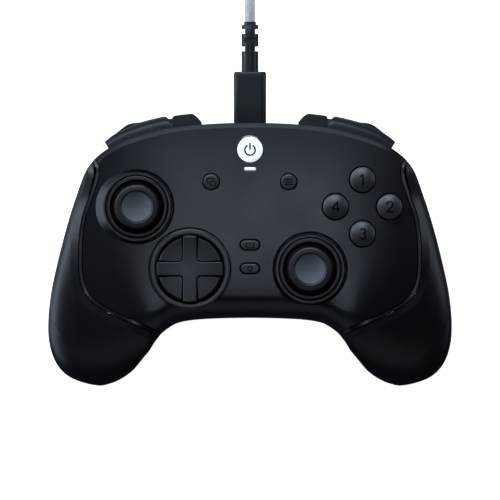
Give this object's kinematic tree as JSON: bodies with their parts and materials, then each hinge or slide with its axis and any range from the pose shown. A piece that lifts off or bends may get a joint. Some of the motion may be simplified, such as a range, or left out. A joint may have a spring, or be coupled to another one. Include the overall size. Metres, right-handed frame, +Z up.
{
  "type": "gamepad controller",
  "caption": "Wired gamepad with two sticks, direction pad, face buttons, bumpers, triggers, back buttons and a coiled detachable lead.",
  "frame": {"origin": "middle of the pad's footprint, on the table under it", "axes": "+X to the player's right, +Y towards the lead, +Z up out of the face"},
  "size_m": [0.1598, 0.317, 0.0646],
  "materials": {
    "shell": "matte",
    "grip": "textured",
    "key": "satin",
    "board": "satin",
    "metal": "satin",
    "light": "satin",
    "cord": "braided"
  },
  "bodies": {
    "chassis": {"front_shell": "shell", "rear_shell": "shell", "left_grip": "grip", "right_grip": "grip", "main_board": "board", "case_screws": "metal", "lead_socket": "metal", "headset_socket": "key", "button_switches": "metal", "indicator_lens": "light", "stick_rings": "key", "left_stick_housing": "metal", "right_stick_housing": "metal", "dpad_post": "key", "trigger_brackets": "metal", "trigger_axles": "metal", "rumble_motors": "metal", "plug_tip": "metal", "plug_housing": "shell", "strain_relief": "cord", "cable_lead": "cord", "cable_coil": "cord", "cable_tail": "cord", "far_plug_housing": "shell", "far_plug_tip": "metal"},
    "left_stick_carrier": {"left_stick_carrier": "key"},
    "left_stick_lower_yoke": {"left_stick_lower_yoke": "key"},
    "left_stick_upper_yoke": {"left_stick_upper_yoke": "key"},
    "left_stick_lever": {"left_stick_shaft": "metal", "left_stick_cap": "key"},
    "right_stick_carrier": {"right_stick_carrier": "key"},
    "right_stick_lower_yoke": {"right_stick_lower_yoke": "key"},
    "right_stick_upper_yoke": {"right_stick_upper_yoke": "key"},
    "right_stick_lever": {"right_stick_shaft": "metal", "right_stick_cap": "key"},
    "dpad_rocker": {"dpad_rocker": "metal"},
    "dpad_cap": {"dpad_cap": "key"},
    "face_button_top": {"face_button_top": "key"},
    "face_button_right": {"face_button_right": "key"},
    "face_button_bottom": {"face_button_bottom": "key"},
    "face_button_left": {"face_button_left": "key"},
    "view_button": {"view_button": "key"},
    "menu_button": {"menu_button": "key"},
    "home_button": {"home_button": "light"},
    "share_button": {"share_button": "key"},
    "profile_button": {"profile_button": "key"},
    "left_bumper": {"left_bumper": "key"},
    "left_claw_button": {"left_claw_button": "key"},
    "left_trigger": {"left_trigger": "key"},
    "left_back_button_high": {"left_back_button_high": "key"},
    "left_back_button_low": {"left_back_button_low": "key"},
    "left_trigger_stop": {"left_trigger_stop": "key"},
    "left_motor_weight": {"left_motor_weight": "metal"},
    "right_bumper": {"right_bumper": "key"},
    "right_claw_button": {"right_claw_button": "key"},
    "right_trigger": {"right_trigger": "key"},
    "right_back_button_high": {"right_back_button_high": "key"},
    "right_back_button_low": {"right_back_button_low": "key"},
    "right_trigger_stop": {"right_trigger_stop": "key"},
    "right_motor_weight": {"right_motor_weight": "metal"}
  },
  "joints": [
    {"name": "left_stick_press", "type": "slide", "parent": "chassis", "child": "left_stick_carrier", "axis": [0, 0, -1], "range_m": [0, 0.0005], "stiffness_N_per_m": 4000, "springref_m": -0.0005},
    {"name": "left_stick_tilt_y", "type": "hinge", "parent": "left_stick_carrier", "child": "left_stick_lower_yoke", "pos_m": [-0.0447, 0.0171, 0.0446], "axis": [1, 0, 0], "range_deg": [-16, 16], "stiffness_Nm_per_rad": 0.05},
    {"name": "left_stick_tilt_x", "type": "hinge", "parent": "left_stick_lower_yoke", "child": "left_stick_lever", "pos_m": [-0.0447, 0.0171, 0.0446], "axis": [0, 1, 0], "range_deg": [-16, 16], "stiffness_Nm_per_rad": 0.05},
    {"name": "left_stick_follow_x", "type": "hinge", "parent": "chassis", "child": "left_stick_upper_yoke", "pos_m": [-0.0447, 0.0171, 0.0446], "axis": [0, 1, 0], "range_deg": [-16, 16]},
    {"name": "right_stick_press", "type": "slide", "parent": "chassis", "child": "right_stick_carrier", "axis": [0, 0, -1], "range_m": [0, 0.0005], "stiffness_N_per_m": 4000, "springref_m": -0.0005},
    {"name": "right_stick_tilt_y", "type": "hinge", "parent": "right_stick_carrier", "child": "right_stick_lower_yoke", "pos_m": [0.02375, -0.0075, 0.0446], "axis": [1, 0, 0], "range_deg": [-16, 16], "stiffness_Nm_per_rad": 0.05},
    {"name": "right_stick_tilt_x", "type": "hinge", "parent": "right_stick_lower_yoke", "child": "right_stick_lever", "pos_m": [0.02375, -0.0075, 0.0446], "axis": [0, 1, 0], "range_deg": [-16, 16], "stiffness_Nm_per_rad": 0.05},
    {"name": "right_stick_follow_x", "type": "hinge", "parent": "chassis", "child": "right_stick_upper_yoke", "pos_m": [0.02375, -0.0075, 0.0446], "axis": [0, 1, 0], "range_deg": [-16, 16]},
    {"name": "dpad_tilt_x", "type": "hinge", "parent": "chassis", "child": "dpad_rocker", "pos_m": [-0.02375, -0.0074, 0.047], "axis": [0, 1, 0], "range_deg": [-4.5, 4.5], "stiffness_Nm_per_rad": 0.2},
    {"name": "dpad_tilt_y", "type": "hinge", "parent": "dpad_rocker", "child": "dpad_cap", "pos_m": [-0.02375, -0.0074, 0.047], "axis": [1, 0, 0], "range_deg": [-4.5, 4.5], "stiffness_Nm_per_rad": 0.2},
    {"name": "face_button_top_press", "type": "slide", "parent": "chassis", "child": "face_button_top", "axis": [0, 0, -1], "range_m": [0, 0.0012], "stiffness_N_per_m": 500, "springref_m": -0.001},
    {"name": "face_button_right_press", "type": "slide", "parent": "chassis", "child": "face_button_right", "axis": [0, 0, -1], "range_m": [0, 0.0012], "stiffness_N_per_m": 500, "springref_m": -0.001},
    {"name": "face_button_bottom_press", "type": "slide", "parent": "chassis", "child": "face_button_bottom", "axis": [0, 0, -1], "range_m": [0, 0.0012], "stiffness_N_per_m": 500, "springref_m": -0.001},
    {"name": "face_button_left_press", "type": "slide", "parent": "chassis", "child": "face_button_left", "axis": [0, 0, -1], "range_m": [0, 0.0012], "stiffness_N_per_m": 500, "springref_m": -0.001},
    {"name": "view_button_press", "type": "slide", "parent": "chassis", "child": "view_button", "axis": [0, 0, -1], "range_m": [0, 0.0005], "stiffness_N_per_m": 1200, "springref_m": -0.0005},
    {"name": "menu_button_press", "type": "slide", "parent": "chassis", "child": "menu_button", "axis": [0, 0, -1], "range_m": [0, 0.0005], "stiffness_N_per_m": 1200, "springref_m": -0.0005},
    {"name": "home_button_press", "type": "slide", "parent": "chassis", "child": "home_button", "axis": [0, 0, -1], "range_m": [0, 0.0005], "stiffness_N_per_m": 1200, "springref_m": -0.0005},
    {"name": "share_button_press", "type": "slide", "parent": "chassis", "child": "share_button", "axis": [0, 0, -1], "range_m": [0, 0.0005], "stiffness_N_per_m": 1200, "springref_m": -0.0005},
    {"name": "profile_button_press", "type": "slide", "parent": "chassis", "child": "profile_button", "axis": [0, 0, -1], "range_m": [0, 0.0005], "stiffness_N_per_m": 1200, "springref_m": -0.0005},
    {"name": "left_bumper_press", "type": "hinge", "parent": "chassis", "child": "left_bumper", "pos_m": [-0.0305, 0.0435, 0.0448], "axis": [0, 0, 1], "range_deg": [0, 1.6], "stiffness_Nm_per_rad": 1.5, "springref_deg": -1.15},
    {"name": "left_claw_press", "type": "slide", "parent": "chassis", "child": "left_claw_button", "axis": [0, -1, 0], "range_m": [0, 0.0008], "stiffness_N_per_m": 900, "springref_m": -0.0006},
    {"name": "left_trigger_pull", "type": "hinge", "parent": "chassis", "child": "left_trigger", "pos_m": [-0.04152, 0.03644, 0.0327], "axis": [-0.9525, -0.3045, 0], "range_deg": [0, 16], "stiffness_Nm_per_rad": 0.12, "springref_deg": -28.65},
    {"name": "left_back_high_press", "type": "slide", "parent": "chassis", "child": "left_back_button_high", "axis": [0, 0, 1], "range_m": [0, 0.0008], "stiffness_N_per_m": 900, "springref_m": -0.0006},
    {"name": "left_back_low_press", "type": "slide", "parent": "chassis", "child": "left_back_button_low", "axis": [0, 0, 1], "range_m": [0, 0.0008], "stiffness_N_per_m": 900, "springref_m": -0.0006},
    {"name": "left_stop_slide", "type": "slide", "parent": "chassis", "child": "left_trigger_stop", "axis": [-1, 0, 0], "range_m": [0, 0.004]},
    {"name": "left_motor_spin", "type": "hinge", "parent": "chassis", "child": "left_motor_weight", "pos_m": [-0.0676, -0.025, 0.023], "axis": [1, 0, 0], "continuous": true},
    {"name": "right_bumper_press", "type": "hinge", "parent": "chassis", "child": "right_bumper", "pos_m": [0.0305, 0.0435, 0.0448], "axis": [0, 0, -1], "range_deg": [0, 1.6], "stiffness_Nm_per_rad": 1.5, "springref_deg": -1.15},
    {"name": "right_claw_press", "type": "slide", "parent": "chassis", "child": "right_claw_button", "axis": [0, -1, 0], "range_m": [0, 0.0008], "stiffness_N_per_m": 900, "springref_m": -0.0006},
    {"name": "right_trigger_pull", "type": "hinge", "parent": "chassis", "child": "right_trigger", "pos_m": [0.04152, 0.03644, 0.0327], "axis": [-0.9525, 0.3045, 0], "range_deg": [0, 16], "stiffness_Nm_per_rad": 0.12, "springref_deg": -28.65},
    {"name": "right_back_high_press", "type": "slide", "parent": "chassis", "child": "right_back_button_high", "axis": [0, 0, 1], "range_m": [0, 0.0008], "stiffness_N_per_m": 900, "springref_m": -0.0006},
    {"name": "right_back_low_press", "type": "slide", "parent": "chassis", "child": "right_back_button_low", "axis": [0, 0, 1], "range_m": [0, 0.0008], "stiffness_N_per_m": 900, "springref_m": -0.0006},
    {"name": "right_stop_slide", "type": "slide", "parent": "chassis", "child": "right_trigger_stop", "axis": [1, 0, 0], "range_m": [0, 0.004]},
    {"name": "right_motor_spin", "type": "hinge", "parent": "chassis", "child": "right_motor_weight", "pos_m": [0.0676, -0.025, 0.023], "axis": [1, 0, 0], "continuous": true}
  ],
  "couplings": [
    {"joint": "left_stick_follow_x", "follows": "left_stick_tilt_x", "ratio": 1},
    {"joint": "right_stick_follow_x", "follows": "right_stick_tilt_x", "ratio": 1}
  ]
}
